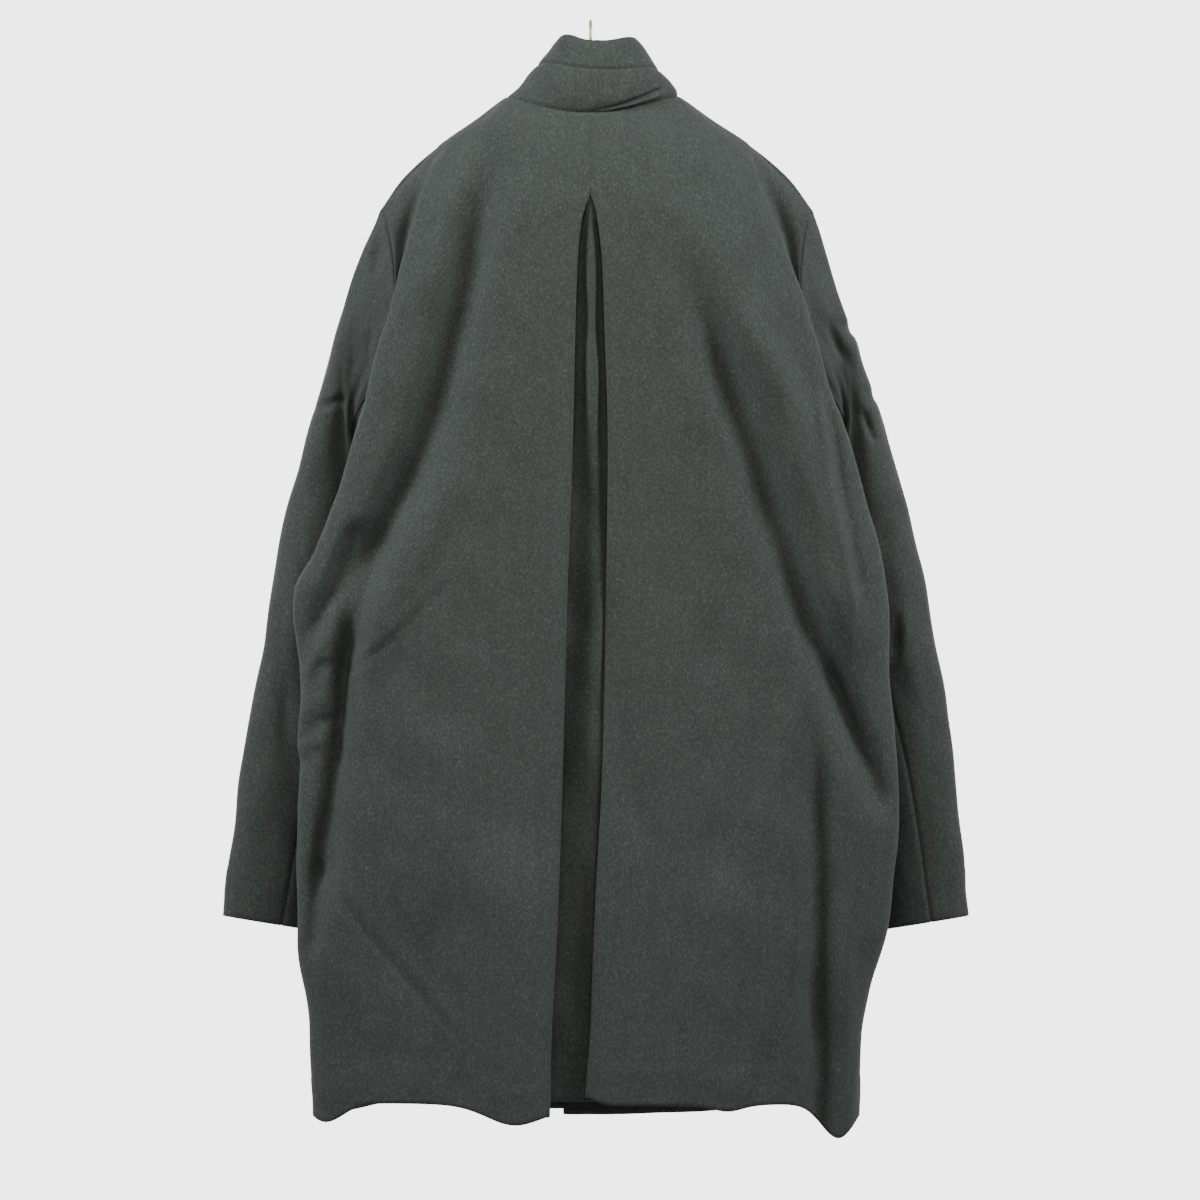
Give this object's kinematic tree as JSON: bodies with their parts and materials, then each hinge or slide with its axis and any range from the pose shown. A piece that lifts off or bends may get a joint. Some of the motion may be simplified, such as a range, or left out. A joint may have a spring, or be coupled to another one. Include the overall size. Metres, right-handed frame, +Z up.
{
  "type": "stand-collar coat on a hanger",
  "caption": "Loose wool coat with a two-band stand collar, set-in sleeves and an inverted back pleat, hanging on a plain wire-hook hanger.",
  "frame": {"origin": "inside top of the hanger's hook, where it hangs on a rod", "axes": "+Z up, +Y towards the back of the coat, +X towards the wearer's left"},
  "size_m": [0.7176, 0.2216, 1.0524],
  "materials": {
    "wool": "brushed melange wool",
    "beech": "satin",
    "wire": "satin",
    "horn": "satin"
  },
  "bodies": {
    "root": {"back_left": "wool", "back_right": "wool", "front_left": "wool", "front_right": "wool", "pleat_underlay": "wool", "collar_upper": "wool", "collar_lower": "wool", "sleeve_top_left": "wool", "sleeve_under_left": "wool", "sleeve_top_right": "wool", "sleeve_under_right": "wool", "button_1": "horn", "button_2": "horn", "button_3": "horn", "button_4": "horn", "button_5": "horn", "hanger_bar": "beech", "hanger_hook": "wire"}
  },
  "joints": []
}
